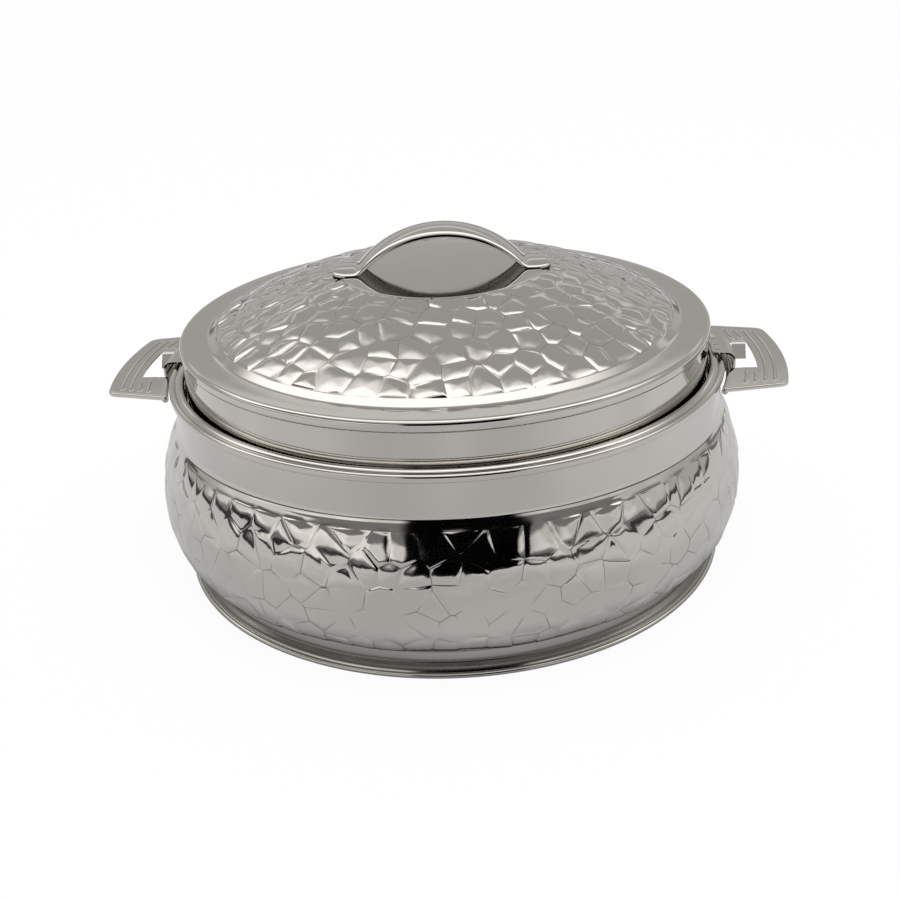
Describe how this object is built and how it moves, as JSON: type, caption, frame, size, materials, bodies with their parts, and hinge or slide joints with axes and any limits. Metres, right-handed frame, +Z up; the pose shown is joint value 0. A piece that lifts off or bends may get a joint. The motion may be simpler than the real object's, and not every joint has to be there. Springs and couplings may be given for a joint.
{
  "type": "insulated casserole",
  "caption": "Round double-walled insulated casserole with a bulging hammered pot, a lift-off domed lid with a bow handle, and folding wing handles.",
  "frame": {"origin": "on the floor at the centre of the base ring", "axes": "+Z up; X through the two side handles; +Y away from the front; the round lid sits turned by 5 degrees about Z, so its bow handle runs 5 degrees from X towards +Y"},
  "size_m": [0.3708, 0.326, 0.1835],
  "materials": {
    "hammered_steel": "polished stainless steel with hammered facets",
    "polished_steel": "polished stainless steel",
    "satin_steel": "spun satin stainless steel",
    "plated_steel": "zinc plated steel fasteners",
    "foam": "rigid cream polyurethane foam",
    "plug_plastic": "moulded black plastic"
  },
  "bodies": {
    "pot": {"outer_shell": "hammered_steel", "inner_pot": "polished_steel", "body_insulation": "foam", "base_ring": "polished_steel", "bottom_plate": "satin_steel", "body_foam_plug": "plug_plastic", "handle_bracket_right": "polished_steel", "handle_bracket_left": "polished_steel"},
    "lid": {"lid_cover": "hammered_steel", "lid_liner": "satin_steel", "lid_insulation": "foam", "lid_foam_plug": "plug_plastic", "lid_handle": "polished_steel", "lid_handle_studs": "plated_steel", "lid_handle_washers": "plated_steel", "lid_handle_nuts": "plated_steel"},
    "wing_right": {"side_handle_right": "polished_steel", "hem_wire_right": "plated_steel"},
    "wing_left": {"side_handle_left": "polished_steel", "hem_wire_left": "plated_steel"}
  },
  "joints": [
    {"name": "lid_lift", "type": "slide", "parent": "pot", "child": "lid", "axis": [0, 0, 1], "range_m": [0, 0.15]},
    {"name": "wing_right_fold", "type": "hinge", "parent": "pot", "child": "wing_right", "pos_m": [0.15473, 0, 0.1045], "axis": [0, -1, 0], "range_deg": [0, 100]},
    {"name": "wing_left_fold", "type": "hinge", "parent": "pot", "child": "wing_left", "pos_m": [-0.15473, 0, 0.1045], "axis": [0, 1, 0], "range_deg": [0, 100]}
  ]
}
